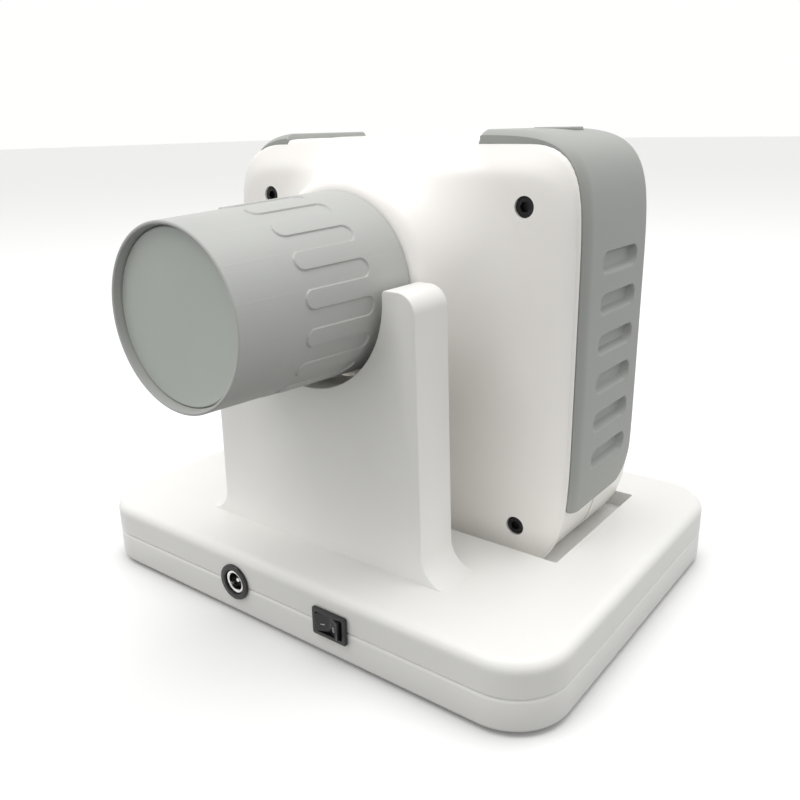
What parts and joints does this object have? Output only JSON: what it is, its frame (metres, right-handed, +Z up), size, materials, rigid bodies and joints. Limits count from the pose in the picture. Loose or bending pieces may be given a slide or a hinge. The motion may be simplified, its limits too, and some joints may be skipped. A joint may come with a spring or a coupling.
{
  "type": "intraoral xray unit",
  "caption": "Handheld dental xray unit with a round cone and grey side grips, resting in a white charging dock with a notched upright, power jack and rocker switch.",
  "frame": {"origin": "on the table under the middle of the dock", "axes": "+Z up, +X to the right when the cone points at the viewer, -Y is the way the cone, the power jack and the switch face"},
  "size_m": [0.21, 0.1864, 0.1719],
  "materials": {
    "white_plastic": "satin warm white ABS moulding",
    "grey_soft_touch": "matt soft-touch mid grey coating",
    "window_grey": "smooth greenish grey beam window",
    "black_plastic": "glossy black",
    "black_steel": "black oxide steel screws",
    "chrome": "bright plated contacts",
    "rubber": "black rubber",
    "circuit_board": "green solder mask",
    "brass": "gold plated contacts",
    "lead": "dull lead shielding",
    "aluminium": "satin",
    "copper": "machined copper",
    "glass": "clear",
    "battery_wrap": "blue shrink wrap",
    "display_panel": "dark display",
    "display_glass": "tinted clear window",
    "key_grey": "satin grey keys"
  },
  "bodies": {
    "dock": {"base_lower_housing": "white_plastic", "base_upper_housing": "white_plastic", "cone_cradle": "white_plastic", "rubber_foot_1": "rubber", "rubber_foot_2": "rubber", "rubber_foot_3": "rubber", "rubber_foot_4": "rubber", "base_screw_1": "black_steel", "base_screw_2": "black_steel", "base_screw_3": "black_steel", "base_screw_4": "black_steel", "dc_jack_body": "black_plastic", "dc_jack_sleeve": "chrome", "dc_jack_pin": "chrome", "rocker_switch_frame": "black_plastic", "charging_board": "circuit_board", "charge_pin_left": "brass", "charge_pin_right": "brass"},
    "rocker": {"rocker_switch_lever": "black_plastic"},
    "handset": {"front_shell": "white_plastic", "rear_shell": "white_plastic", "left_grip": "grey_soft_touch", "right_grip": "grey_soft_touch", "cone_sleeve": "grey_soft_touch", "cone_window": "window_grey", "lead_liner": "lead", "collimator_ring": "lead", "beam_filter": "aluminium", "tube_head_housing": "lead", "xray_tube_envelope": "glass", "anode": "copper", "cathode_cup": "aluminium", "high_voltage_board": "circuit_board", "main_board": "circuit_board", "battery_pack": "battery_wrap", "exposure_switch": "black_plastic", "keypad_board": "circuit_board", "display_module": "display_panel", "display_window": "display_glass", "contact_pad_left": "brass", "contact_pad_right": "brass", "casing_screw_1": "black_steel", "casing_screw_2": "black_steel", "casing_screw_3": "black_steel", "casing_screw_4": "black_steel"},
    "exposure_button": {"exposure_button": "grey_soft_touch"},
    "power_button": {"power_button": "key_grey"},
    "up_button": {"up_button": "key_grey"},
    "down_button": {"down_button": "key_grey"},
    "set_button": {"set_button": "key_grey"}
  },
  "joints": [
    {"name": "rocker_tilt", "type": "hinge", "parent": "dock", "child": "rocker", "pos_m": [0.0269, -0.0775, 0.0143], "axis": [0, 0, 1], "range_deg": [-10.8, 0]},
    {"name": "handset_lift", "type": "slide", "parent": "dock", "child": "handset", "axis": [0, 0, 1], "range_m": [0, 0.15]},
    {"name": "exposure_press", "type": "slide", "parent": "handset", "child": "exposure_button", "axis": [0, 0, -1], "range_m": [0, 0.0012], "stiffness_N_per_m": 800},
    {"name": "power_press", "type": "slide", "parent": "handset", "child": "power_button", "axis": [0, -1, 0], "range_m": [0, 0.001], "stiffness_N_per_m": 800},
    {"name": "up_press", "type": "slide", "parent": "handset", "child": "up_button", "axis": [0, -1, 0], "range_m": [0, 0.001], "stiffness_N_per_m": 800},
    {"name": "down_press", "type": "slide", "parent": "handset", "child": "down_button", "axis": [0, -1, 0], "range_m": [0, 0.001], "stiffness_N_per_m": 800},
    {"name": "set_press", "type": "slide", "parent": "handset", "child": "set_button", "axis": [0, -1, 0], "range_m": [0, 0.001], "stiffness_N_per_m": 800}
  ]
}
